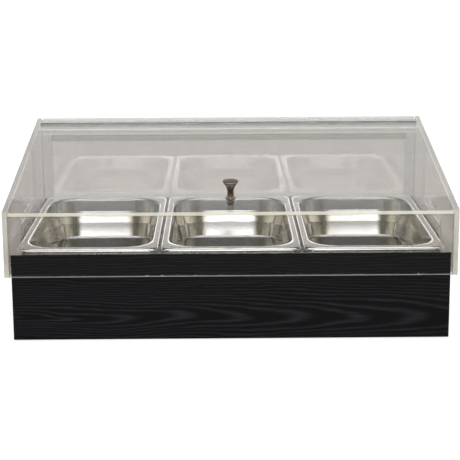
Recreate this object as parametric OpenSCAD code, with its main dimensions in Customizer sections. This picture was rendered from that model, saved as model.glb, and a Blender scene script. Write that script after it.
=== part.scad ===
// Condiment caddy: lift-out steel pans in a dark wooden base, under a clear lift-off guard
// with a flip lid. Millimetres. The origin is below the middle of the caddy, on the surface
// that it stands on. The front faces -Y and +Z is up.

/* [Pans] */
// Width of one pan over its flange
pan_w = 176; // [150:1:200]
// Length of a pan over its flange, front to back
pan_l = 325; // [260:1:360]
// Depth of a pan below the top of its flange
pan_depth = 60; // [45:1:80]
// Thickness of the pans' steel sheet
pan_t = 0.9; // [0.6:0.1:1.4]
// Width of the flange along a pan's long sides
flange_w = 9.5; // [8:0.5:12]
// Width of the flange at a pan's front and back
flange_end_w = 13.5; // [12:0.5:18]
// Height of the rolled lip at the edge of the flange
lip_h = 4; // [3.5:0.5:6]
// Radius of the roll at the edge of the flange
lip_r = 3; // [2:0.5:3.5]
// Radius of the flange's corners
flange_r = 8; // [6:1:14]
// Radius of the opening's corners
opening_r = 40; // [30:1:45]
// Radius of the bend from the opening into the flange
rim_r = 3; // [1:0.25:3]
// Height of the upright top of a pan's walls
upright_h = 18; // [12:0.5:22]
// Height of the shoulder below it, which keeps stacked pans from jamming
shoulder_h = 17; // [10:0.5:18]
// How far the shoulder comes in
shoulder_w = 6.5; // [3:0.5:8]
// How far the walls lean in below the shoulder
pan_draft = 5; // [2:0.5:10]
// Radius between a pan's walls and its floor
floor_r = 5; // [3:0.5:20]
// Gap between neighbouring pans
pan_gap = 2; // [1:0.5:4]

/* [Base] */
// Height of the base's boards
board_h = 109; // [100:1:140]
// Rim of a side board that shows beside the pans
side_rim = 5; // [3:0.5:8]
// Width of a board's edge under the flanges
seat_w = 5; // [3:0.5:6]
// Thickness of the base's floor
floor_t = 6; // [4:0.5:9]
// Thickness of the dividers under the joints between the pans
divider_t = 12; // [8:0.5:16]
// Height of the dividers
divider_h = 40; // [20:1:50]
// Width of the square corner blocks
block_w = 20; // [16:1:24]
// Clearance between the corner blocks and the bottoms of the pans
block_clear = 10; // [5:1:12]
// Diameter of the rubber feet
foot_d = 16; // [12:1:20]
// Thickness of the rubber feet
foot_t = 1.5; // [1:0.5:4]
// How far the feet's centres lie inside the corners of the floor
foot_inset = 24; // [22:1:40]
// Diameter of the floor screws
floor_screw_d = 4; // [3:0.5:5]
// Diameter of the floor screws' countersunk heads
floor_head_d = 8; // [7:0.5:9]
// How far the floor screws reach into the corner blocks
floor_screw_bite = 14; // [10:1:14]

/* [Guard] */
// Thickness of the guard's clear sheets
sheet_t = 6; // [4:0.5:8]
// Clearance between the base and the guard round it
guard_gap = 1.5; // [0.5:0.25:3]
// How far the guard hangs down over the base
guard_overlap = 27; // [10:1:60]
// Height of the guard's sides over the base at the front
front_h = 55.5; // [52:0.5:80]
// Height of the guard's sides over the base at the back
rear_h = 117.5; // [100:0.5:140]
// Width of the corner posts
post_w = 15; // [10:0.5:20]
// Depth of the corner posts and of the cross bar
post_d = 10; // [6:0.5:12]
// Clearance between the posts and the pans
post_clear = 2; // [1:0.5:4]
// Height of the cross bar between the rear posts
bar_h = 9; // [8:0.5:20]
// Distance of the cross bar below the guard's rear top edge
bar_drop = 22.5; // [16:0.5:30]

/* [Lid] */
// Thickness of the lid's clear sheet
lid_t = 4.5; // [3:0.5:6]
// Distance of the lid's face below the edges of the guard's sides
lid_inset = 1.5; // [0.5:0.25:3]
// Clearance at each end of the lid
lid_side_gap = 1; // [0.5:0.25:3]
// Gap between the closed lid and the edges under it
lid_rest_gap = 0.3; // [0.1:0.1:1]
// Width of each hinge leaf, from the pin to its edge
leaf_w = 25; // [14:0.5:32]
// Thickness of the hinge leaves
leaf_t = 1.6; // [1:0.1:2]
// Diameter of the hinge knuckles
knuckle_d = 5.5; // [5:0.25:8]
// Number of hinge knuckles, odd so that both ends match
knuckle_count = 19; // [7:2:25]
// Gap between neighbouring knuckles
knuckle_gap = 0.5; // [0.3:0.1:1]
// Clearance between a knuckle and the edges beside it
leaf_clear = 0.45; // [0.35:0.05:1]
// Clearance at each end of the hinge
hinge_end_gap = 2; // [1:0.5:6]
// Diameter of the hinge pin
pin_d = 2.4; // [1.5:0.1:3]
// Radial clearance of the pin in the knuckles
pin_clear = 0.05; // [0.02:0.01:0.1]

/* [Knob] */
// Distance of the knob behind the lid's front edge
knob_setback = 44; // [25:1:80]
// Height of the knob
knob_h = 24; // [18:0.5:30]
// Diameter of the knob's top
knob_top_d = 20; // [16:0.5:28]
// Diameter of the knob's neck
knob_neck_d = 8; // [7:0.5:10]
// Diameter of the knob's foot
knob_foot_d = 13; // [11:0.2:16]
// Diameter of the knob screw
screw_d = 4; // [3:0.5:5]
// Depth of the threaded hole in the knob
screw_depth = 9; // [6:0.5:12]
// Diameter of the screw's head
screw_head_d = 7.5; // [6:0.5:9]
// Height of the screw's head
screw_head_h = 2.4; // [1.5:0.1:3]
// Diameter of the washer under the screw's head
washer_d = 10; // [9.5:0.5:14]
// Thickness of the washer
washer_t = 1; // [0.6:0.1:1.5]

/* [Hidden] */
$fn = 48;

wood = [0.11, 0.11, 0.12];
steel = [0.75, 0.75, 0.74];
clear = [0.86, 0.9, 0.87, 0.45];
pewter = [0.35, 0.33, 0.31];
zinc = [0.7, 0.7, 0.68];
rubber = [0.08, 0.08, 0.08];

screw_clear = 0.05;
hole_clear = 0.3;
seat_clear = 0.3;

pan_count = 3;
pan_pitch = pan_w + pan_gap;
row_w = pan_count * pan_w + (pan_count - 1) * pan_gap;

// The pans stand clear of the posts, which stand on the front and back boards.
end_rim = post_d - guard_gap + post_clear;
base_w = row_w + 2 * side_rim;
base_d = pan_l + 2 * end_rim;
top_z = foot_t + board_h;
side_board_t = side_rim + seat_w;
end_board_t = end_rim + seat_w;
inner_w = base_w - 2 * side_board_t;
inner_d = base_d - 2 * end_board_t;

guard_inner_w = base_w + 2 * guard_gap;
guard_inner_y = base_d / 2 + guard_gap;
guard_y = guard_inner_y + sheet_t;
guard_bottom_z = top_z - guard_overlap;
front_top_z = top_z + front_h;
rear_top_z = top_z + rear_h;
bar_top_z = rear_top_z - bar_drop;
slope = atan((rear_top_z - front_top_z) / (2 * guard_y));

// Places on the lid are in a frame that lies in the lid's face: Y runs up the slope from the
// guard's front and Z stands square to the face.
strip_end = (2 * guard_y - (lid_inset + lid_t) * sin(slope)) / cos(slope);
knuckle_r = knuckle_d / 2;
pin_y = strip_end - leaf_w;
leaf_start = knuckle_r + leaf_clear;
sheet_start = sqrt(leaf_start * leaf_start - knuckle_r * knuckle_r);
lid_w = guard_inner_w - 2 * lid_side_gap;
hinge_w = guard_inner_w - 2 * hinge_end_gap;

// Height of the plane that lies drop below the edges of the guard's sides, at depth y.
function sloped_z(y, drop) = front_top_z + (y + guard_y) * tan(slope) - drop / cos(slope);

// Points of a rounded rectangle at one height, anticlockwise from above.
corner_steps = 7;
function outline(half_w, half_l, r, z) = [
    for (corner = [0:3], i = [0:corner_steps])
        let (
            a = 90 * (corner + i / corner_steps),
            side_x = corner == 0 || corner == 3 ? 1 : -1,
            side_y = corner < 2 ? 1 : -1
        )
        [side_x * (half_w - r) + r * cos(a), side_y * (half_l - r) + r * sin(a), z]
];

// A pan's corner radius at one distance in from the edge of its flange. It grows over the
// flange, and below the flange it shrinks with the distance, so that the sheet stays even.
least_r = 2;
outer_wall = flange_w - pan_t;
function pan_corner_r(inset) =
    inset < outer_wall
        ? flange_r + (opening_r + pan_t - flange_r) * inset / outer_wall
        : max(opening_r + flange_w - inset, least_r);

// Distance in from the flange's edge at a pan's front and back, for one along its sides.
flat_end = flange_w - rim_r;
function end_inset(inset) =
    inset + (flange_end_w - flange_w) * max(0, min(1, (inset - lip_r) / (flat_end - lip_r)));

// A pan's section, as [distance in from the flange's edge, height over the flange's top]: along
// its inside from the floor to the lip, and back along its outside.
crease = [flange_w + shoulder_w, -upright_h - shoulder_h];
wall_inset = crease[0] + pan_draft;
floor_z = pan_t - pan_depth;
bend_steps = 5;
function floor_bend(r, a) = [wall_inset + floor_r - r * sin(a), floor_z + floor_r - r * cos(a)];
function rim_bend(r, a) = [flat_end + r * sin(a), -rim_r + r * cos(a)];
function lip_bend(r, a) = [lip_r - r * sin(a), -lip_r + r * cos(a)];
bend_angles = [for (i = [0:bend_steps]) 90 * i / bend_steps];
pan_section = concat(
    [for (a = bend_angles) floor_bend(floor_r, a)],
    [crease, [flange_w, -upright_h]],
    [for (i = [bend_steps:-1:0]) rim_bend(rim_r, bend_angles[i])],
    [for (a = bend_angles) lip_bend(lip_r, a)],
    [[0, -lip_h], [pan_t, -lip_h]],
    [for (i = [bend_steps:-1:0]) lip_bend(lip_r - pan_t, bend_angles[i])],
    [for (a = bend_angles) rim_bend(rim_r - pan_t, a)],
    [[outer_wall, -upright_h], crease - [pan_t, 0]],
    [for (i = [bend_steps:-1:0]) floor_bend(floor_r + pan_t, bend_angles[i])]
);

// A plate whose outline lies in the YZ plane, centred on X.
module side_profile(points, width) {
    translate([-width / 2, 0, 0])
        rotate([90, 0, 90])
            linear_extrude(width)
                polygon(points);
}

// Copies children into the corners of a rectangle.
module at_corners(half_x, half_y) {
    for (x = [-1, 1], y = [-1, 1])
        translate([x * half_x, y * half_y, 0])
            children();
}

// Puts children into the frame of the lid's face.
module on_lid_face() {
    translate([0, -guard_y, front_top_z])
        rotate([slope, 0, 0])
            translate([0, 0, -lid_inset])
                children();
}

// Puts children at the knob's place on the lid's face.
module at_knob() {
    on_lid_face()
        translate([0, knob_setback, 0])
            children();
}

// ---- Base ----

module end_board(side) {
    color(wood)
        translate([-base_w / 2, side * (inner_d + end_board_t) / 2 - end_board_t / 2, foot_t])
            cube([base_w, end_board_t, board_h]);
}

module base_front_board() {
    end_board(-1);
}

module base_back_board() {
    end_board(1);
}

module side_board(side) {
    color(wood)
        translate([side * (inner_w + side_board_t) / 2 - side_board_t / 2, -inner_d / 2, foot_t])
            cube([side_board_t, inner_d, board_h]);
}

module base_left_board() {
    side_board(-1);
}

module base_right_board() {
    side_board(1);
}

block_x = (inner_w - block_w) / 2;
block_y = (inner_d - block_w) / 2;
block_z = foot_t + floor_t;
block_h = top_z + lip_h - pan_depth - block_clear - block_z;
floor_screw_l = floor_t + floor_screw_bite;
countersink_h = (floor_head_d - floor_screw_d) / 2;

// Outline of a floor screw, grown by the clearance of the hole it sits in.
module floor_screw_shape(clearance) {
    translate([0, 0, foot_t]) {
        cylinder(d = floor_screw_d + 2 * clearance, h = floor_screw_l + clearance);
        cylinder(
            d1 = floor_head_d + 2 * clearance,
            d2 = floor_screw_d + 2 * clearance,
            h = countersink_h
        );
    }
}

module base_floor() {
    color(wood)
        difference() {
            translate([-inner_w / 2, -inner_d / 2, foot_t])
                cube([inner_w, inner_d, floor_t]);
            at_corners(block_x, block_y)
                floor_screw_shape(screw_clear);
        }
}

module divider(side) {
    color(wood)
        translate([side * pan_pitch / 2 - divider_t / 2, -inner_d / 2, top_z - divider_h])
            cube([divider_t, inner_d, divider_h]);
}

module left_divider() {
    divider(-1);
}

module right_divider() {
    divider(1);
}

module corner_blocks() {
    color(wood)
        at_corners(block_x, block_y)
            difference() {
                translate([-block_w / 2, -block_w / 2, block_z])
                    cube([block_w, block_w, block_h]);
                floor_screw_shape(screw_clear);
            }
}

module floor_screws() {
    color(zinc)
        at_corners(block_x, block_y)
            floor_screw_shape(0);
}

module rubber_feet() {
    color(rubber)
        at_corners(inner_w / 2 - foot_inset, inner_d / 2 - foot_inset)
            cylinder(d = foot_d, h = foot_t);
}

// ---- Pans ----

// One pan: its section carried round the opening, as rings of points joined by facets.
module pan(place) {
    rings = [
        for (p = pan_section)
            outline(pan_w / 2 - p[0], pan_l / 2 - end_inset(p[0]), pan_corner_r(p[0]), p[1])
    ];
    ring_size = 4 * (corner_steps + 1);
    last = len(rings) - 1;
    points = [for (ring = rings) each ring];
    walls = [
        for (i = [0:last - 1], j = [0:ring_size - 1])
            let (
                near = i * ring_size + j,
                next = i * ring_size + (j + 1) % ring_size
            )
            each [
                [near, next, next + ring_size],
                [near, next + ring_size, near + ring_size]
            ]
    ];
    inside = [[for (j = [ring_size - 1:-1:0]) j]];
    outside = [[for (j = [0:ring_size - 1]) last * ring_size + j]];
    color(steel)
        translate([place * pan_pitch, 0, top_z + lip_h])
            polyhedron(points, concat(walls, inside, outside));
}

module pan_left() {
    pan(-1);
}

module pan_center() {
    pan(0);
}

module pan_right() {
    pan(1);
}

// ---- Guard ----

module guard_side(side) {
    color(clear)
        translate([side * (guard_inner_w + sheet_t) / 2, 0, 0])
            side_profile(
                [
                    [-guard_y, guard_bottom_z],
                    [guard_y, guard_bottom_z],
                    [guard_y, rear_top_z],
                    [-guard_y, front_top_z]
                ],
                sheet_t
            );
}

module guard_left_side() {
    guard_side(-1);
}

module guard_right_side() {
    guard_side(1);
}

// A piece from y0 to y1 that stands at bottom_z and is cut off along the lid's slope, drop
// below the edges of the sides.
module under_slope(y0, y1, bottom_z, drop, width) {
    side_profile(
        [[y0, bottom_z], [y1, bottom_z], [y1, sloped_z(y1, drop)], [y0, sloped_z(y0, drop)]],
        width
    );
}

under_lid = lid_inset + lid_t + lid_rest_gap;

module guard_front_apron() {
    color(clear)
        under_slope(-guard_y, -guard_inner_y, guard_bottom_z, under_lid, guard_inner_w);
}

module guard_back_panel() {
    color(clear)
        under_slope(guard_inner_y, guard_y, guard_bottom_z, lid_inset + lid_t, guard_inner_w);
}

module guard_rear_strip() {
    color(clear)
        on_lid_face()
            translate([-guard_inner_w / 2, pin_y + sheet_start, -lid_t])
                cube([guard_inner_w, leaf_w - sheet_start, lid_t]);
}

post_x = (guard_inner_w - post_w) / 2;

module front_post(side) {
    color(clear)
        translate([side * post_x, 0, 0])
            under_slope(-guard_inner_y, post_d - guard_inner_y, top_z, under_lid, post_w);
}

module front_left_post() {
    front_post(-1);
}

module front_right_post() {
    front_post(1);
}

module rear_post(side) {
    color(clear)
        translate([side * post_x - post_w / 2, guard_inner_y - post_d, top_z])
            cube([post_w, post_d, bar_top_z - top_z]);
}

module rear_left_post() {
    rear_post(-1);
}

module rear_right_post() {
    rear_post(1);
}

module rear_cross_bar() {
    bar_w = guard_inner_w - 2 * post_w;
    color(clear)
        translate([-bar_w / 2, guard_inner_y - post_d, bar_top_z - bar_h])
            cube([bar_w, post_d, bar_h]);
}

// ---- Hinge ----

// Puts children on the pin's axis, with their Z along it.
module on_pin_axis() {
    on_lid_face()
        translate([0, pin_y, knuckle_r])
            rotate([0, 90, 0])
                children();
}

tab_lap = 1;

// One hinge leaf with every second knuckle, each joined to it by a tab that laps into it. side
// is 1 for the rear leaf and -1 for the lid's.
module hinge_leaf(side, first) {
    pitch = hinge_w / knuckle_count;
    knuckle_l = pitch - knuckle_gap;
    plate_w = leaf_w - leaf_start;
    plate_y = pin_y + side * (leaf_start + plate_w / 2);
    tab_w = leaf_start + tab_lap;
    color(clear)
        difference() {
            union() {
                on_lid_face()
                    translate([-hinge_w / 2, plate_y - plate_w / 2, 0])
                        cube([hinge_w, plate_w, leaf_t]);
                for (i = [first:2:knuckle_count - 1]) {
                    x = (i + 0.5) * pitch - hinge_w / 2;
                    on_pin_axis()
                        translate([0, 0, x - knuckle_l / 2])
                            cylinder(r = knuckle_r, h = knuckle_l);
                    on_lid_face()
                        translate([x - knuckle_l / 2, pin_y + (side - 1) * tab_w / 2, 0])
                            cube([knuckle_l, tab_w, leaf_t]);
                }
            }
            on_pin_axis()
                cylinder(d = pin_d + 2 * pin_clear, h = hinge_w + knuckle_gap, center = true);
        }
}

module hinge_fixed_leaf() {
    hinge_leaf(1, 0);
}

module hinge_lid_leaf() {
    hinge_leaf(-1, 1);
}

module hinge_pin() {
    color(zinc)
        on_pin_axis()
            cylinder(d = pin_d, h = hinge_w - knuckle_gap, center = true);
}

// ---- Lid ----

module lid_panel() {
    color(clear)
        on_lid_face()
            difference() {
                translate([-lid_w / 2, 0, -lid_t])
                    cube([lid_w, pin_y - sheet_start, lid_t]);
                translate([0, knob_setback, -lid_t - hole_clear])
                    cylinder(d = screw_d + 2 * hole_clear, h = lid_t + 2 * hole_clear);
            }
}

knob_foot_h = 2;
knob_rim_h = 0.8;
knob_dome_h = 0.6;
neck_share = 0.3;
flare_power = 2.2;
curve_steps = 10;

// The knob's radius at each height: a foot, a waist and a flare that opens to the rim.
module lid_knob() {
    neck_z = knob_foot_h + neck_share * (knob_h - knob_foot_h);
    rim_z = knob_h - knob_dome_h - knob_rim_h;
    waist = [
        for (i = [0:curve_steps])
            let (t = i / curve_steps)
            [
                knob_neck_d / 2 + (knob_foot_d - knob_neck_d) / 2 * pow(1 - t, flare_power),
                knob_foot_h + (neck_z - knob_foot_h) * t
            ]
    ];
    flare = [
        for (i = [1:curve_steps])
            let (t = i / curve_steps)
            [
                knob_neck_d / 2 + (knob_top_d - knob_neck_d) / 2 * pow(t, flare_power),
                neck_z + (rim_z - neck_z) * t
            ]
    ];
    color(pewter)
        at_knob()
            difference() {
                rotate_extrude()
                    polygon(concat(
                        [[0, 0], [knob_foot_d / 2, 0]],
                        waist,
                        flare,
                        [
                            [knob_top_d / 2, knob_h - knob_dome_h],
                            [knob_top_d / 2 - knob_dome_h, knob_h],
                            [0, knob_h]
                        ]
                    ));
                translate([0, 0, -screw_clear])
                    cylinder(d = screw_d + 2 * screw_clear, h = screw_depth + screw_clear);
            }
}

module knob_washer() {
    color(zinc)
        at_knob()
            translate([0, 0, -lid_t - washer_t])
                difference() {
                    cylinder(d = washer_d, h = washer_t);
                    translate([0, 0, -washer_t])
                        cylinder(d = screw_d + 2 * hole_clear, h = 3 * washer_t);
                }
}

module knob_screw() {
    color(zinc)
        at_knob()
            translate([0, 0, -lid_t - washer_t]) {
                cylinder(d = screw_d, h = lid_t + washer_t + screw_depth - seat_clear);
                translate([0, 0, -screw_head_h])
                    cylinder(d = screw_head_d, h = screw_head_h);
            }
}

base_front_board();
base_back_board();
base_left_board();
base_right_board();
base_floor();
left_divider();
right_divider();
corner_blocks();
floor_screws();
rubber_feet();
pan_left();
pan_center();
pan_right();
guard_left_side();
guard_right_side();
guard_front_apron();
guard_back_panel();
guard_rear_strip();
front_left_post();
front_right_post();
rear_left_post();
rear_right_post();
rear_cross_bar();
hinge_fixed_leaf();
hinge_pin();
lid_panel();
hinge_lid_leaf();
lid_knob();
knob_washer();
knob_screw();
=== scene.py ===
import math

import bmesh
import bpy
from mathutils import Matrix, Vector


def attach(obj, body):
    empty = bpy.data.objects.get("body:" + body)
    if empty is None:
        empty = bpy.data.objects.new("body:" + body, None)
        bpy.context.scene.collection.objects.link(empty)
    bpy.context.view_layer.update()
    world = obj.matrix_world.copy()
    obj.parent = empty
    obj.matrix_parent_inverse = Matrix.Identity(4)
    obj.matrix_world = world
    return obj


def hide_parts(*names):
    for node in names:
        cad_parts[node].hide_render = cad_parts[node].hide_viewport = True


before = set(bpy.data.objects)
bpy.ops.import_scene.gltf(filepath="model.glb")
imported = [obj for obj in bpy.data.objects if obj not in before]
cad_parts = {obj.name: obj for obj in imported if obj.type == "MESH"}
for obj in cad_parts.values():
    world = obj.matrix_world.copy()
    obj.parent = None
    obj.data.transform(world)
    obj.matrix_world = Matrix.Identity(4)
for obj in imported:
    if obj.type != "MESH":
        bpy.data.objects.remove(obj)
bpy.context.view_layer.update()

# ---------------------------------------------------------------- sizes, in millimetres
TOP_Z = 110.5
FOOT_T = 1.5
BASE_X, BASE_Y = 271.0, 173.0
INNER_X, INNER_Y = 261.0, 157.5

PITCH = 178.0
PAN_X, PAN_Y = 88.0, 162.5
PAN_TOP = 114.5
FLANGE_X, FLANGE_Y = 9.5, 13.5

GUARD_X, GUARD_Y = 272.5, 174.5
SHEET = 6.0
SKIRT_Z = 83.5
FRONT_Z, REAR_Z = 166.0, 228.0
OUT_Y = GUARD_Y + SHEET
LID_T, LID_INSET, LID_GAP, LID_PLAY = 4.5, 1.5, 0.3, 1.0
LEAF_W, LEAF_T = 25.0, 1.6
KNUCKLE_R = 2.75
LEAF_START = KNUCKLE_R + 0.45
HINGE_X = GUARD_X - 2.0
KNUCKLES, KNUCKLE_GAP = 19, 0.5
POST_W, POST_D = 15.0, 10.0
BAR_TOP, BAR_H = 205.5, 9.0
KNOB_V = 44.0

SLOPE = math.atan((REAR_Z - FRONT_Z) / (2 * OUT_Y))
SIN, COS = math.sin(SLOPE), math.cos(SLOPE)
STRIP_END = (2 * OUT_Y - (LID_INSET + LID_T) * SIN) / COS
PIN_V = STRIP_END - LEAF_W
SHEET_START = math.sqrt(LEAF_START ** 2 - KNUCKLE_R ** 2)

# Glued faces stay this far apart, so that no two clear faces lie in one plane.
GLUE = 0.05


def lid_face(x, v, w):
    """A point given in the frame of the lid's face: v runs up the slope, w stands square to it."""
    w -= LID_INSET
    return (x, v * COS - w * SIN - OUT_Y, v * SIN + w * COS + FRONT_Z)


def sloped_z(y, drop):
    return FRONT_Z + (y + OUT_Y) * math.tan(SLOPE) - drop / COS


# ---------------------------------------------------------------- camera
cam_data = bpy.data.cameras.new("camera")
cam_data.lens = 107.51
cam_data.sensor_width = 36.0
cam_data.clip_start = 0.05
cam_data.clip_end = 60.0
cam = bpy.data.objects.new("camera", cam_data)
bpy.context.scene.collection.objects.link(cam)
pitch, yaw, roll = (math.radians(a) for a in (12.983, 0.377, -0.303))
fwd = Vector((math.sin(yaw) * math.cos(pitch), math.cos(yaw) * math.cos(pitch), -math.sin(pitch)))
right = Vector((math.cos(yaw), -math.sin(yaw), 0))
up = right.cross(fwd)
cam_x = right * math.cos(roll) + up * math.sin(roll)
cam_y = up * math.cos(roll) - right * math.sin(roll)
cam.matrix_world = Matrix.Translation((-0.0119, -1.8119, 0.5182)) @ Matrix((
    (cam_x.x, cam_y.x, -fwd.x, 0),
    (cam_x.y, cam_y.y, -fwd.y, 0),
    (cam_x.z, cam_y.z, -fwd.z, 0),
    (0, 0, 0, 1),
))
bpy.context.scene.camera = cam
bpy.context.scene.view_settings.view_transform = "Standard"


# ---------------------------------------------------------------- node helpers
class Nodes:
    """A short way to write a node tree."""

    def __init__(self, tree):
        self.tree = tree
        tree.nodes.clear()

    def add(self, kind, values=None, **settings):
        node = self.tree.nodes.new(kind)
        for key, value in settings.items():
            setattr(node, key, value)
        for key, value in (values or {}).items():
            if isinstance(value, bpy.types.NodeSocket):
                self.tree.links.new(value, node.inputs[key])
            else:
                node.inputs[key].default_value = value
        return node

    def math(self, operation, a, b=0.0):
        return self.add("ShaderNodeMath", {0: a, 1: b}, operation=operation).outputs[0]

    def ramp(self, value, stops):
        node = self.add("ShaderNodeValToRGB", {0: value})
        elements = node.color_ramp.elements
        while len(elements) < len(stops):
            elements.new(0.5)
        for element, (position, color) in zip(elements, stops):
            element.position = position
            element.color = (*color, 1)
        return node.outputs[0]

    def coords(self, scale, location=(0, 0, 0)):
        source = self.add("ShaderNodeTexCoord").outputs["Object"]
        node = self.add("ShaderNodeMapping", {"Vector": source, "Scale": scale, "Location": location})
        return node.outputs[0]

    def noise(self, vector, scale, detail, roughness=0.5):
        values = {"Vector": vector, "Scale": scale, "Detail": detail, "Roughness": roughness}
        return self.add("ShaderNodeTexNoise", values).outputs[0]

    def mix_color(self, factor, a, b):
        node = self.add("ShaderNodeMix", data_type="RGBA")
        for index, value in ((0, factor), (6, a), (7, b)):
            if isinstance(value, bpy.types.NodeSocket):
                self.tree.links.new(value, node.inputs[index])
            else:
                node.inputs[index].default_value = value
        return node.outputs[2]

    def mix(self, factor, a, b):
        return self.add("ShaderNodeMixShader", {0: factor, 1: a, 2: b}).outputs[0]

    def bump(self, height, distance, strength):
        values = {"Height": height, "Distance": distance, "Strength": strength}
        return self.add("ShaderNodeBump", values).outputs[0]

    def output(self, shader, kind="ShaderNodeOutputMaterial"):
        self.add(kind, {0: shader})


def new_material(name):
    mat = bpy.data.materials.new(name)
    mat.use_nodes = True
    return mat, Nodes(mat.node_tree)


def span(n, value, low, high):
    """Carries a value from 0..1 to low..high."""
    return n.math("ADD", n.math("MULTIPLY", value, high - low), low)


# ---------------------------------------------------------------- materials
ACRYLIC_IOR = 1.49


def pane(n, tint, rough, ior):
    """One face of a clear sheet: it mirrors as acrylic does and passes the rest, tinted."""
    back = n.add("ShaderNodeNewGeometry").outputs["Backfacing"]
    index = n.math("ADD", ior, n.math("MULTIPLY", back, 1 / ACRYLIC_IOR - ior))
    fresnel = n.add("ShaderNodeFresnel", {"IOR": index}).outputs[0]
    through = n.add("ShaderNodeBsdfTransparent", {"Color": tint}).outputs[0]
    mirror = n.add("ShaderNodeBsdfGlossy", {"Color": (0.95, 0.95, 0.95, 1), "Roughness": rough}).outputs[0]
    return n.mix(fresnel, through, mirror)


def clear_sheet(name, tint, pale=0.0, pale_color=(1, 1, 1), rough=0.0, streak=(6, 6, 6), ior=ACRYLIC_IOR):
    """Clear acrylic. pale mixes in a pale matt finish: partly the light that a sawn or glued edge scatters,
    partly painted light standing for the glow that light carried inside the sheet gives its edges.
    """
    mat, n = new_material(name)
    haze = n.noise(n.coords((9, 9, 9)), 1.0, 3.0)
    tinted = n.mix_color(haze, (*[c * 0.99 for c in tint], 1), (*tint, 1))
    shader = pane(n, tinted, rough, ior)
    if pale:
        mottle = n.noise(n.coords(streak), 1.0, 4.0, 0.6)
        shade = n.ramp(mottle, [(0.25, [c * 0.82 for c in pale_color]), (0.5, pale_color),
                                (0.8, [min(1, c * 1.12) for c in pale_color])])
        values = {"Base Color": shade, "Roughness": 0.28, "IOR": ACRYLIC_IOR}
        shader = n.mix(pale, shader, n.add("ShaderNodeBsdfPrincipled", values).outputs[0])
    n.output(shader)
    return mat


def arris_material(name):
    """The narrow bevel along a sheet's edges: painted as a dark line, with painted white glints here and
    there.
    """
    mat, n = new_material(name)
    mottle = n.noise(n.coords((150, 150, 150)), 1.0, 3.0, 0.6)
    glint = n.ramp(mottle, [(0.62, (0, 0, 0)), (0.7, (1, 1, 1))])
    white = n.add("ShaderNodeBsdfDiffuse", {"Color": (0.9, 0.91, 0.87, 1)}).outputs[0]
    dark = n.add("ShaderNodeBsdfTransparent", {"Color": (0.68, 0.67, 0.65, 1)}).outputs[0]
    n.output(n.mix(glint, dark, white))
    return mat


def steel(name, color, rough, grain=(1, 1, 1), bump=0.00001, spread=0.05):
    mat, n = new_material(name)
    fine = n.noise(n.coords(grain), 900.0, 2.0, 0.6)
    broad = n.noise(n.coords((12, 12, 12)), 1.0, 3.0, 0.55)
    shade = n.ramp(broad, [(0.3, [c * 0.94 for c in color]), (0.7, color)])
    values = {"Base Color": shade, "Metallic": 1.0,
              "Roughness": span(n, fine, rough - spread, rough + spread)}
    if bump:
        values["Normal"] = n.bump(fine, bump, 0.5)
    n.output(n.add("ShaderNodeBsdfPrincipled", values).outputs[0])
    return mat


def veneer(name, along, centre, seed):
    """Black-stained veneer: rings of a trunk cut at a slight angle, so that they close into arches."""
    mat, n = new_material(name)
    source = n.add("ShaderNodeTexCoord").outputs["Object"]
    warp = n.noise(n.coords((5, 5, 26), (seed, seed, seed)), 1.0, 3.0, 0.55)
    xyz = n.add("ShaderNodeSeparateXYZ", {0: source})
    length = n.math("SUBTRACT", xyz.outputs[along], centre[0])
    height = n.math("SUBTRACT", xyz.outputs["Z"], centre[1])
    height = n.math("ADD", height, n.math("MULTIPLY", n.math("SUBTRACT", warp, 0.5), 0.024))
    slant = n.math("ADD", n.math("MULTIPLY", length, 0.05), 0.004)
    squares = n.math("ADD", n.math("MULTIPLY", slant, slant), n.math("MULTIPLY", height, height))
    rings = n.math("SINE", n.math("MULTIPLY", n.math("SQRT", squares), 1750.0))
    rings = span(n, rings, 0.5, 1.0)
    fibre = n.noise(n.coords((14, 14, 620)), 1.0, 4.0, 0.6)
    pores = n.noise(n.coords((60, 60, 1700)), 1.0, 2.0, 0.5)
    grain = n.math("ADD", n.math("MULTIPLY", rings, 0.5), n.math("MULTIPLY", fibre, 0.54))
    color = n.ramp(grain, [(0.42, (0.0022, 0.0022, 0.0028)), (0.6, (0.0058, 0.0057, 0.0068)),
                           (0.8, (0.018, 0.0178, 0.021))])
    pore = n.ramp(pores, [(0.30, (1, 1, 1)), (0.42, (0, 0, 0))])
    color = n.mix_color(pore, color, (0.003, 0.003, 0.004, 1))
    values = {"Base Color": color, "Roughness": span(n, fibre, 0.42, 0.62), "IOR": 1.45,
              "Specular IOR Level": 0.25, "Normal": n.bump(grain, 0.00012, 0.35)}
    n.output(n.add("ShaderNodeBsdfPrincipled", values).outputs[0])
    return mat


def lacquered(name):
    """The rims of the base and the tops of its dividers: the same stain under a smoother coat."""
    mat, n = new_material(name)
    fibre = n.noise(n.coords((40, 40, 40)), 1.0, 4.0, 0.6)
    values = {"Base Color": n.ramp(fibre, [(0.3, (0.02, 0.017, 0.015)), (0.7, (0.045, 0.038, 0.034))]),
              "Roughness": span(n, fibre, 0.22, 0.32), "IOR": 1.5, "Coat Weight": 0.15, "Coat Roughness": 0.2}
    n.output(n.add("ShaderNodeBsdfPrincipled", values).outputs[0])
    return mat


def plain(name, low, high, rough, scale=(40, 40, 40)):
    mat, n = new_material(name)
    cloud = n.noise(n.coords(scale), 1.0, 5.0, 0.6)
    values = {"Base Color": n.ramp(cloud, [(0.3, low), (0.7, high)]),
              "Roughness": span(n, cloud, rough - 0.06, rough + 0.06), "Normal": n.bump(cloud, 0.0001, 0.4)}
    n.output(n.add("ShaderNodeBsdfPrincipled", values).outputs[0])
    return mat


SHEET_TINT = (0.864, 0.85, 0.832)
BACK_TINT = (0.88, 0.865, 0.847)
EDGE_TINT = (0.93, 0.93, 0.9)
HINGE_TINT = (0.95, 0.95, 0.94)
POST_STREAK = (30, 30, 6)
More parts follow.
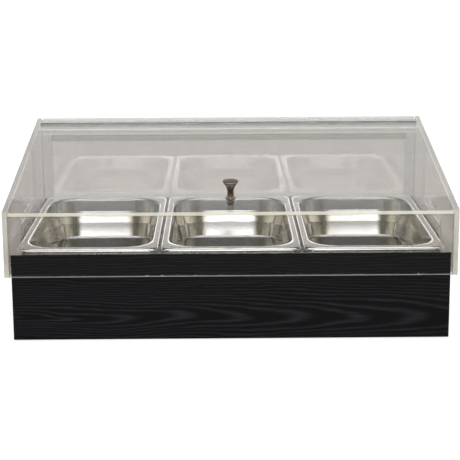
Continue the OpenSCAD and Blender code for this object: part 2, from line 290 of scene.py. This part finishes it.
# The back panel's inner face mirrors the pans as strongly as they show in the photograph.
BACK_IOR = 2.6
MAT = {
    "sheet": clear_sheet("clear_acrylic", SHEET_TINT),
    # The pale parts of the edge and post finishes below are partly painted light: the glow of light carried
    # inside the sheets.
    "edge": clear_sheet("acrylic_edge", EDGE_TINT, 0.75, (0.53, 0.52, 0.43), 0.1, (7, 40, 40)),
    "soft_edge": clear_sheet("acrylic_edge_clear", EDGE_TINT, 0.16, (0.8, 0.8, 0.76), 0.06, (12, 12, 12)),
    "lid_edge": clear_sheet("acrylic_edge_lid", EDGE_TINT, 0.8, (0.93, 0.9, 0.76), 0.12, (9, 40, 40)),
    "apron_edge": clear_sheet("acrylic_edge_apron", (0.93, 0.93, 0.95), 0.75, (0.74, 0.73, 0.78), 0.1,
                              (5, 40, 40)),
    "slope": clear_sheet("acrylic_edge_top", (0.62, 0.62, 0.59)),
    # The two side sheets are one acrylic: the left one's darker, warmer tint is painted shade, the right
    # one's lighter tint painted light.
    "side_left": clear_sheet("clear_acrylic_side", (0.84, 0.81, 0.793)),
    "side_right": clear_sheet("clear_acrylic_side_right", (0.895, 0.875, 0.85)),
    "back": clear_sheet("clear_acrylic_back", BACK_TINT, ior=BACK_IOR),
    "back_outer": clear_sheet("clear_acrylic_back_outer", BACK_TINT),
    "post_left": clear_sheet("acrylic_post", (1.0, 0.98, 0.975), 0.3, (1.0, 0.99, 1.0), 0.05, POST_STREAK),
    "post_right": clear_sheet("acrylic_post_right", (1.0, 1.0, 0.985), 0.3, (1.0, 1.0, 0.97), 0.05,
                              POST_STREAK),
    "rear_post": clear_sheet("acrylic_post_rear", (1.0, 1.0, 1.0), 0.12, (0.98, 0.97, 0.97), 0.05,
                             POST_STREAK),
    "bar": clear_sheet("acrylic_bar", (0.85, 0.835, 0.795)),
    # The cross bar's top and bottom faces: a pale matt finish that paints highlight lines along the bar.
    "bar_edge_highlight": clear_sheet("acrylic_bar_edge", (0.95, 0.95, 0.93), 0.7, (0.86, 0.85, 0.83), 0.1,
                            (9, 60, 60)),
    "arris": arris_material("acrylic_arris_painted_glints"),
    "hinge": clear_sheet("acrylic_hinge", HINGE_TINT, 0.1, (0.8, 0.8, 0.78), 0.03, (20, 20, 20)),
    # The leaves' outer edges: a near-white matt finish, partly edge scatter and partly a painted highlight
    # line.
    "leaf_edge_highlight": clear_sheet("acrylic_leaf_edge", HINGE_TINT, 0.8, (0.98, 0.98, 0.96), 0.1, (30, 60, 60)),
    "knuckle": clear_sheet("acrylic_knuckle", (0.93, 0.93, 0.92), 0.1, (0.85, 0.85, 0.84), 0.2,
                           (20, 20, 20), 1.25),
    # The leaves' edges by the pin: a dark tint that is painted shade in the gap under the knuckles.
    "leaf_gap_shade": clear_sheet("acrylic_leaf_gap", (0.45, 0.44, 0.43)),
    "pan": steel("pan_steel", (0.74, 0.73, 0.71), 0.12, (1, 1, 0.15), 0.0, 0.02),
    "knob": steel("dark_nickel", (0.2, 0.155, 0.115), 0.28),
    "zinc": steel("zinc_steel", (0.36, 0.36, 0.36), 0.36),
    "veneer_front": veneer("veneer_front", "X", (-0.21, 0.03), 0.0),
    "veneer_back": veneer("veneer_back", "X", (0.12, 0.05), 3.0),
    "veneer_left": veneer("veneer_left", "Y", (-0.05, 0.04), 5.0),
    "veneer_right": veneer("veneer_right", "Y", (0.07, 0.06), 8.0),
    "rim": lacquered("veneer_rim"),
    "board": plain("painted_board", (0.011, 0.011, 0.012), (0.02, 0.02, 0.021), 0.7),
    "rubber": plain("foot_rubber", (0.012, 0.012, 0.012), (0.02, 0.02, 0.02), 0.6, (200, 200, 200)),
}


# ---------------------------------------------------------------- mesh helpers
def add_piece(name, bm, body, mats, node, bevel=0.0, segments=2, arris=False):
    """Makes a piece of a mesh in millimetres, hangs it on the body it rides on and hides the CAD node it
    takes the place of.
    """
    bmesh.ops.recalc_face_normals(bm, faces=bm.faces)
    for vert in bm.verts:
        vert.co *= 0.001
    mesh = bpy.data.meshes.new(name)
    bm.to_mesh(mesh)
    bm.free()
    for key in mats + ["arris"] * arris:
        mesh.materials.append(MAT[key])
    for polygon in mesh.polygons:
        polygon.use_smooth = True
    obj = bpy.data.objects.new(name, mesh)
    bpy.context.scene.collection.objects.link(obj)
    if bevel:
        mod = obj.modifiers.new("edges", "BEVEL")
        mod.width = bevel * 0.001
        mod.segments = segments
        mod.limit_method = "ANGLE"
        mod.angle_limit = math.radians(35)
        mod.harden_normals = True
        if arris:
            mod.material = len(mats)
    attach(obj, body)
    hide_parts(node)


def prism(points_a, points_b, side_mats, cap_mats):
    """A solid between two like outlines. side_mats has a material index for each side."""
    bm = bmesh.new()
    a = [bm.verts.new(p) for p in points_a]
    b = [bm.verts.new(p) for p in points_b]
    for verts, index in ((a, cap_mats[0]), (b, cap_mats[1])):
        bm.faces.new(verts).material_index = index
    for i, index in enumerate(side_mats):
        j = (i + 1) % len(a)
        bm.faces.new((a[i], a[j], b[j], b[i])).material_index = index
    return bm


def plate(profile, x0, x1, side_mats, cap_mats=(1, 1)):
    """A sheet whose outline lies in the YZ plane."""
    return prism([(x0, y, z) for y, z in profile], [(x1, y, z) for y, z in profile], side_mats, cap_mats)


def lid_plate(x0, x1, v0, v1, w0, w1, side_mats, cap_mats=(1, 1)):
    profile = [(v0, w0), (v1, w0), (v1, w1), (v0, w1)]
    return prism([lid_face(x0, v, w) for v, w in profile], [lid_face(x1, v, w) for v, w in profile],
                 side_mats, cap_mats)


# ---------------------------------------------------------------- base
BOARD_GAP = 0.02


def board(place, x0, x1, y0, y1):
    bm = bmesh.new()
    z0, z1 = FOOT_T, TOP_Z
    corners = [(x0, y0), (x1, y0), (x1, y1), (x0, y1)]
    a = [bm.verts.new((x, y, z0)) for x, y in corners]
    b = [bm.verts.new((x, y, z1)) for x, y in corners]
    bm.faces.new(a[::-1])
    bm.faces.new(b).material_index = 1
    for i in range(4):
        j = (i + 1) % 4
        bm.faces.new((a[i], a[j], b[j], b[i]))
    add_piece(f"veneered_{place}_board", bm, "base", [f"veneer_{place}", "rim"],
              f"base_{place}_board", bevel=0.7, segments=3)


board("front", -BASE_X, BASE_X, -BASE_Y, -INNER_Y)
board("back", -BASE_X, BASE_X, INNER_Y, BASE_Y)
board("left", -BASE_X, -INNER_X, -INNER_Y + BOARD_GAP, INNER_Y - BOARD_GAP)
board("right", INNER_X, BASE_X, -INNER_Y + BOARD_GAP, INNER_Y - BOARD_GAP)


def dress(node, key):
    """Gives a CAD node that stays its material."""
    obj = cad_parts[node]
    obj.data.materials.clear()
    obj.data.materials.append(MAT[key])


for node in ("base_floor", "corner_blocks"):
    dress(node, "board")
for node in ("left_divider", "right_divider"):
    dress(node, "rim")
dress("floor_screws", "zinc")
dress("rubber_feet", "rubber")


# ---------------------------------------------------------------- pans
CORNER_POWER = 2.3
CORNER_REACH = 1.25


def ring(half_x, half_y, radius, z):
    """A rectangle with corners that start gently, about as deep as round ones of the radius."""
    steps = 16
    reach = radius * CORNER_REACH
    points = []
    for corner in range(4):
        for i in range(steps + 1):
            turn = i / steps if corner % 2 == 0 else 1 - i / steps
            run = reach * max(0.0, math.cos(math.radians(90 * turn))) ** (2 / CORNER_POWER)
            rise = reach * math.sin(math.radians(90 * turn)) ** (2 / CORNER_POWER)
            side_x = 1 if corner in (0, 3) else -1
            side_y = 1 if corner < 2 else -1
            points.append((side_x * (half_x - reach + run), side_y * (half_y - reach + rise), z))
    return points


# How far a pan's wall leans in, in degrees, at depths below its flange: upright at the top, then a
# shoulder that keeps stacked pans from jamming, a crease, and the lower wall.
LIP_LEAN = 10.0
WALL_LEAN = [(2.0, 8.0), (4.0, 3.0), (18.0, 3.5), (21.5, 17.0), (33.5, 19.5), (35.0, 12.6), (37.5, 13.2),
             (53.0, 18.0)]


def lean_at(depth):
    for (d0, lean0), (d1, lean1) in zip(WALL_LEAN, WALL_LEAN[1:]):
        if depth <= d1:
            return lean0 + (lean1 - lean0) * (depth - d0) / (d1 - d0)
    return WALL_LEAN[-1][1]


def pan_mesh(centre_x):
    sheet, rim, lip, floor_r = 0.9, 3.0, 3.4, 2.5
    lip_r, opening_r, corner_r = 2.8, 40.0, 8.0
    bend_steps, floor_steps = 7, 12

    def corner(inset):
        if inset < FLANGE_X:
            return corner_r + (opening_r - corner_r) * inset / FLANGE_X
        return max(opening_r - (inset - FLANGE_X), 3.0)

    def rim_bend(r):
        angles = [math.radians(90 * i / bend_steps) for i in range(bend_steps + 1)]
        return [(FLANGE_X - rim + r * math.sin(a), -rim + r * math.cos(a)) for a in angles]

    def lip_bend(r):
        """Round to the face that leans out a little down to the lip's edge."""
        angles = [math.radians((90 - LIP_LEAN) * i / bend_steps) for i in range(bend_steps + 1)]
        return [(lip - r * math.sin(a), -lip_r + r * math.cos(a)) for a in angles]

    wall = [(FLANGE_X, -WALL_LEAN[0][0])]
    step = 1.0
    while -wall[-1][1] < WALL_LEAN[-1][0] - 0.01:
        x, z = wall[-1]
        wall.append((x + step * math.tan(math.radians(lean_at(step / 2 - z))), z - step))
    x, z = wall[-1]
    lean = math.radians(WALL_LEAN[-1][1])
    centre = (x + floor_r * math.cos(lean), z + floor_r * math.sin(lean))
    angles = [lean + (math.pi / 2 - lean) * i / floor_steps for i in range(1, floor_steps + 1)]
    floor_bend = [(centre[0] - floor_r * math.cos(a), centre[1] - floor_r * math.sin(a)) for a in angles]
    floor_z = floor_bend[-1][1]
    inner = [(floor_bend[-1][0] + 2.0, floor_z)] + floor_bend[::-1] + wall[::-1]
    inner += rim_bend(rim)[::-1]
    inner += [(FLANGE_X - rim - 0.3, 0.0), (lip + 0.3, 0.0)] + lip_bend(lip_r) + [(0.0, -3.85), (0.15, -4.0)]
    outer = [(sheet - 0.1, -4.0), (sheet, -3.8)] + lip_bend(lip_r - sheet)[::-1]
    outer += [(lip + 0.3, -sheet), (FLANGE_X - rim - sheet, -sheet), (FLANGE_X - sheet, -rim - sheet)]
    outer += [(x - sheet, z) for x, z in wall[1:]]
    outer += [(x - sheet * math.cos(a), z - sheet * math.sin(a)) for (x, z), a in zip(floor_bend, angles)]
    outer += [(floor_bend[-1][0] + 2.0, floor_z - sheet)]

    under = FLANGE_X - rim - sheet
    rings = []
    for inset, z in inner + outer:
        share = max(0.0, min(1.0, (inset - lip) / (under - lip)))
        end_inset = inset + (FLANGE_Y - FLANGE_X) * share
        points = ring(PAN_X - inset, PAN_Y - end_inset, corner(inset), z + PAN_TOP)
        rings.append([(x + centre_x, y, level) for x, y, level in points])
    bm = bmesh.new()
    loops = [[bm.verts.new(p) for p in points] for points in rings]
    for low, high in zip(loops, loops[1:]):
        for i in range(len(low)):
            j = (i + 1) % len(low)
            bm.faces.new((low[i], low[j], high[j], high[i]))
    bm.faces.new(loops[0][::-1])
    bm.faces.new(loops[-1])
    return bm


for place, name in ((-1, "pan_left"), (0, "pan_center"), (1, "pan_right")):
    add_piece(f"{name}_pressed", pan_mesh(place * PITCH), name, ["pan"], name)


# ---------------------------------------------------------------- guard
SHEET_BEVEL = 0.5
ENDS = GUARD_X - GLUE
UNDER_LID = LID_INSET + LID_T + LID_GAP
UNDER_STRIP = LID_INSET + LID_T + GLUE

for side, place in ((-1, "left"), (1, "right")):
    outline = [(-OUT_Y, SKIRT_Z), (OUT_Y, SKIRT_Z), (OUT_Y, REAR_Z), (-OUT_Y, FRONT_Z)]
    bm = plate(outline, side * GUARD_X, side * (GUARD_X + SHEET), (2, 2, 3, 1), (0, 0))
    add_piece(f"guard_{place}_side_sheet", bm, "guard",
              [f"side_{place}", "edge", "soft_edge", "slope"], f"guard_{place}_side", SHEET_BEVEL, arris=True)

bm = plate([(-OUT_Y, SKIRT_Z), (-GUARD_Y, SKIRT_Z), (-GUARD_Y, sloped_z(-GUARD_Y, UNDER_LID)),
            (-OUT_Y, sloped_z(-OUT_Y, UNDER_LID))], -ENDS, ENDS, (1, 0, 2, 0))
add_piece("guard_front_apron_sheet", bm, "guard", ["sheet", "apron_edge", "soft_edge"],
          "guard_front_apron", SHEET_BEVEL, arris=True)

bm = plate([(GUARD_Y, SKIRT_Z), (OUT_Y, SKIRT_Z), (OUT_Y, sloped_z(OUT_Y, UNDER_STRIP)),
            (GUARD_Y, sloped_z(GUARD_Y, UNDER_STRIP))], -ENDS, ENDS, (2, 3, 2, 0), (2, 2))
add_piece("guard_back_panel_sheet", bm, "guard", ["back", "edge", "soft_edge", "back_outer"],
          "guard_back_panel", SHEET_BEVEL)

bm = lid_plate(-ENDS, ENDS, PIN_V + SHEET_START, STRIP_END, -LID_T, -GLUE, (0, 2, 0, 2), (2, 2))
add_piece("guard_rear_strip_sheet", bm, "guard", ["sheet", "edge", "soft_edge"],
          "guard_rear_strip", SHEET_BEVEL, arris=True)

for side, place in ((-1, "left"), (1, "right")):
    x0, x1 = sorted((side * ENDS, side * (GUARD_X - POST_W)))
    front, back = -GUARD_Y + GLUE, POST_D - GUARD_Y
    bm = plate([(front, TOP_Z + GLUE), (back, TOP_Z + GLUE), (back, sloped_z(back, UNDER_LID)),
                (front, sloped_z(front, UNDER_LID))], x0, x1, (0, 0, 0, 0), (0, 0))
    add_piece(f"front_{place}_post_bar", bm, "guard", [f"post_{place}"], f"front_{place}_post", 0.3)
    front, back = GUARD_Y - POST_D, GUARD_Y - GLUE
    bm = plate([(front, TOP_Z + GLUE), (back, TOP_Z + GLUE), (back, BAR_TOP), (front, BAR_TOP)],
               x0, x1, (0, 0, 0, 0), (0, 0))
    add_piece(f"rear_{place}_post_bar", bm, "guard", ["rear_post"], f"rear_{place}_post", 0.4)

bar_x = GUARD_X - POST_W - GLUE
front, back = GUARD_Y - POST_D, GUARD_Y - GLUE
bm = plate([(front, BAR_TOP - BAR_H), (back, BAR_TOP - BAR_H), (back, BAR_TOP), (front, BAR_TOP)],
           -bar_x, bar_x, (1, 0, 1, 0))
add_piece("rear_cross_bar_sheet", bm, "guard", ["bar", "bar_edge_highlight"], "rear_cross_bar", 0.4)


# ---------------------------------------------------------------- lid and hinge
def lid_mesh():
    """The lid's sheet, with a round hole for the knob's screw."""
    half, v1 = GUARD_X - LID_PLAY, PIN_V - SHEET_START
    hole, count, near = 2.3, 24, 8.0
    bm = bmesh.new()
    layers = []
    for w in (-LID_T, -GLUE):
        rim = [bm.verts.new(lid_face(x, v, w)) for x, v in ((-half, 0), (half, 0), (half, v1), (-half, v1))]
        box = [bm.verts.new(lid_face(x * near, KNOB_V + v * near, w))
               for x, v in ((-1, -1), (1, -1), (1, 1), (-1, 1))]
        angles = [2 * math.pi * i / count - 0.75 * math.pi for i in range(count)]
        circle = [bm.verts.new(lid_face(hole * math.cos(a), KNOB_V + hole * math.sin(a), w)) for a in angles]
        for i in range(4):
            j = (i + 1) % 4
            bm.faces.new((rim[i], rim[j], box[j], box[i]))
            run = [circle[(i * count // 4 + k) % count] for k in range(count // 4 + 1)]
            bm.faces.new([box[i], box[j]] + run[::-1])
        layers.append((rim, circle))
    (rim_a, circle_a), (rim_b, circle_b) = layers
    for i, index in enumerate((1, 2, 2, 2)):
        j = (i + 1) % 4
        bm.faces.new((rim_a[i], rim_a[j], rim_b[j], rim_b[i])).material_index = index
    for i in range(count):
        j = (i + 1) % count
        bm.faces.new((circle_a[j], circle_a[i], circle_b[i], circle_b[j])).material_index = 2
    return bm


add_piece("lid_sheet", lid_mesh(), "lid", ["sheet", "lid_edge", "soft_edge"], "lid_panel", 0.25)


def hinge_mesh(side, first):
    """A leaf and its knuckles: each knuckle's section is a round with a tab to the leaf."""
    pitch = 2 * HINGE_X / KNUCKLES
    half = (pitch - KNUCKLE_GAP) / 2
    near, far = PIN_V + side * LEAF_START, PIN_V + side * LEAF_W
    # The outer edges get the painted highlight finish, the edges by the pin the dark painted shade of the
    # gap.
    edges = (0, 3, 0, 1) if side < 0 else (0, 1, 0, 3)
    bm = lid_plate(-HINGE_X, HINGE_X, min(near, far), max(near, far), 0.0, LEAF_T, edges)
    start = math.asin((LEAF_T - KNUCKLE_R) / KNUCKLE_R)
    steps = 40
    arc = [start + (1.5 * math.pi - start) * i / steps for i in range(steps + 1)]
    section = [(side * KNUCKLE_R * math.cos(a), KNUCKLE_R + KNUCKLE_R * math.sin(a)) for a in arc]
    section += [(side * LEAF_START, 0.0), (side * LEAF_START, LEAF_T)]
    for i in range(first, KNUCKLES, 2):
        x = (i + 0.5) * pitch - HINGE_X
        a = [bm.verts.new(lid_face(x - half, PIN_V + v, w)) for v, w in section]
        b = [bm.verts.new(lid_face(x + half, PIN_V + v, w)) for v, w in section]
        faces = [bm.faces.new(a), bm.faces.new(b)]
        faces += [bm.faces.new((a[j - 1], a[j], b[j], b[j - 1])) for j in range(len(section))]
        for face in faces:
            face.material_index = 2
    return bm


hinge_mats = ["hinge", "leaf_edge_highlight", "knuckle", "leaf_gap_shade"]
for side, first, name, body in ((1, 0, "hinge_fixed_leaf", "guard"), (-1, 1, "hinge_lid_leaf", "lid")):
    add_piece(f"{name}_moulded", hinge_mesh(side, first), body, hinge_mats, name, 0.2)
dress("hinge_pin", "zinc")


# ---------------------------------------------------------------- knob
def lathe(profile, v):
    """Turns a profile of (radius, height) about a line square to the lid, v up its slope."""
    count = 96
    bm = bmesh.new()
    loops = []
    for r, h in profile:
        if r == 0:
            loops.append([bm.verts.new(lid_face(0.0, v, h))])
            continue
        loops.append([bm.verts.new(lid_face(r * math.cos(a), v + r * math.sin(a), h))
                      for a in (2 * math.pi * i / count for i in range(count))])
    for low, high in zip(loops, loops[1:]):
        for i in range(count):
            j = (i + 1) % count
            quad = [low[i % len(low)], low[j % len(low)], high[j % len(high)], high[i % len(high)]]
            bm.faces.new(list(dict.fromkeys(quad)))
    return bm


def knob_profile():
    foot_r, neck_r, top_r, height = 6.5, 4.0, 10.0, 24.0
    neck, rim = 8.6, 22.6
    points = [(0.0, 0.02), (foot_r - 0.3, 0.02), (foot_r, 0.32), (foot_r, 1.4), (foot_r - 0.4, 1.9)]
    points += [(neck_r + (foot_r - 0.7 - neck_r) * (1 - t) ** 2, 2.0 + (neck - 2.0) * t)
               for t in (i / 14 for i in range(15))]
    points += [(neck_r + (top_r - neck_r) * t ** 2.2, neck + (rim - neck) * t)
               for t in (i / 18 for i in range(1, 19))]
    points += [(top_r, 22.9), (top_r - 0.1, 23.3), (top_r - 0.5, 23.65), (top_r - 1.2, 23.8),
               (top_r * 0.5, 23.95), (0.0, height)]
    return points


add_piece("lid_knob_turned", lathe(knob_profile(), KNOB_V), "lid", ["knob"], "lid_knob")
dress("knob_washer", "zinc")
dress("knob_screw", "zinc")


# ---------------------------------------------------------------- floor, world and lamps
def make_floor():
    half = 20.0
    bm = bmesh.new()
    corners = ((-half, -half), (half, -half), (half, half), (-half, half))
    bm.faces.new([bm.verts.new((x, y, 0)) for x, y in corners])
    mesh = bpy.data.meshes.new("floor")
    bm.to_mesh(mesh)
    bm.free()
    obj = bpy.data.objects.new("floor", mesh)
    bpy.context.scene.collection.objects.link(obj)
    mat, n = new_material("floor_white")
    light = n.add("ShaderNodeLightPath")
    seen = n.math("MAXIMUM", light.outputs["Is Camera Ray"], light.outputs["Is Transmission Ray"])
    shade = n.mix_color(light.outputs["Is Glossy Ray"], (0.5, 0.5, 0.5, 1), (0.1, 0.1, 0.1, 1))
    matt = n.add("ShaderNodeBsdfDiffuse", {"Color": shade}).outputs[0]
    place = n.add("ShaderNodeSeparateXYZ", {0: n.add("ShaderNodeTexCoord").outputs["Object"]}).outputs["Y"]
    values = {"Value": place, "From Min": 0.25, "From Max": 0.45}
    backdrop = n.add("ShaderNodeMapRange", values, interpolation_type="SMOOTHSTEP").outputs[0]
    mirrored = n.math("MULTIPLY", n.math("MULTIPLY", light.outputs["Is Glossy Ray"], backdrop), 0.9)
    strength = n.math("ADD", n.math("MULTIPLY", seen, 0.72), mirrored)
    glow = n.add("ShaderNodeEmission", {"Color": (1, 1, 1, 1), "Strength": strength})
    n.output(n.add("ShaderNodeAddShader", {0: matt, 1: glow.outputs[0]}).outputs[0])
    mesh.materials.append(mat)


make_floor()

world = bpy.data.worlds.new("studio")
world.use_nodes = True
bpy.context.scene.world = world
n = Nodes(world.node_tree)
light = n.add("ShaderNodeLightPath")
xyz = n.add("ShaderNodeSeparateXYZ", {0: n.add("ShaderNodeTexCoord").outputs["Generated"]})
aside, depth, height = n.math("ABSOLUTE", xyz.outputs["X"]), xyz.outputs["Y"], xyz.outputs["Z"]


def ease(value, start, end):
    """0 up to start and 1 from end."""
    values = {"Value": value, "From Min": start, "From Max": end}
    return n.add("ShaderNodeMapRange", values, interpolation_type="SMOOTHSTEP").outputs[0]


# What metal and acrylic mirror: a studio with bright boxes in the middle of its front, dim walls on both
# sides of them and cream ones farther aside. A white backdrop stands behind and fades on its way up, and
# a soft box hangs overhead. Each level is given over the height of the direction, from 0 to 1.
def by_height(*stops):
    """A level that changes with the height over the horizon. A ramp holds no more than 1."""
    top = 8.0
    shades = [(position, (level / top,) * 3) for position, level in stops]
    return n.math("MULTIPLY", n.ramp(height, shades), top)


def blend(factor, a, b):
    return n.add("ShaderNodeMix", {0: factor, 2: a, 3: b}, data_type="FLOAT").outputs[0]


OVERHEAD = [(0.78, 0.2), (0.9, 3.6), (1.0, 3.6)]
middle = by_height((0.0, 5.0), (0.19, 5.0), (0.205, 1.0), (0.225, 1.0), (0.25, 2.2), (0.3, 3.6),
                   (0.36, 5.0), (0.52, 5.0), (0.6, 0.2), *OVERHEAD)
dusk = by_height((0.0, 0.15), (0.2, 0.2), (0.27, 0.4), (0.5, 0.45), (0.62, 0.25), *OVERHEAD)
cream = by_height((0.0, 0.5), (0.1, 1.0), (0.22, 1.4), (0.3, 1.7), (0.5, 1.7), (0.65, 0.5), *OVERHEAD)
behind = by_height((0.0, 4.5), (0.09, 4.0), (0.16, 1.5), (0.22, 1.05), (0.36, 1.2), (0.55, 0.3), *OVERHEAD)
front = blend(ease(aside, 0.0, 0.32), middle, blend(ease(aside, 0.5, 0.95), dusk, cream))
level = blend(ease(depth, 0.0, 0.5), front, behind)
warm = n.math("MULTIPLY", ease(aside, 0.07, 0.22), n.math("LESS_THAN", height, 0.7))
tone = n.mix_color(warm, (0.86, 0.92, 1, 1), (0.94, 0.95, 0.83, 1))
tone = n.mix_color(ease(depth, -0.1, 0.2), tone, (0.92, 0.955, 1, 1))
glossy = n.add("ShaderNodeBackground", {"Color": tone, "Strength": level}).outputs[0]
ambient = n.add("ShaderNodeBackground", {"Color": (1, 1, 1, 1), "Strength": 0.6}).outputs[0]
white = n.add("ShaderNodeBackground", {"Color": (1, 1, 1, 1), "Strength": 1.0}).outputs[0]
seen = n.math("MAXIMUM", light.outputs["Is Camera Ray"], light.outputs["Is Transmission Ray"])
indirect = n.mix(light.outputs["Is Glossy Ray"], ambient, glossy)
n.output(n.mix(seen, indirect, white), "ShaderNodeOutputWorld")


def area_lamp(name, place, target, size, level):
    """An area lamp whose surface is level times as bright as white, and that nothing mirrors."""
    data = bpy.data.lights.new(name, "AREA")
    data.shape = "RECTANGLE"
    data.size, data.size_y = size
    data.energy = level * math.pi * size[0] * size[1]
    obj = bpy.data.objects.new(name, data)
    bpy.context.scene.collection.objects.link(obj)
    obj.location = place
    obj.rotation_euler = (Vector(target) - Vector(place)).to_track_quat("-Z", "Y").to_euler()
    obj.visible_glossy = False


area_lamp("overhead", (0.0, -0.75, 2.0), (0, -0.75, 0), (0.9, 2.3), 4.0)
area_lamp("front", (0.0, -2.3, 1.15), (0, 0, 1.15), (0.9, 1.5), 4.0)
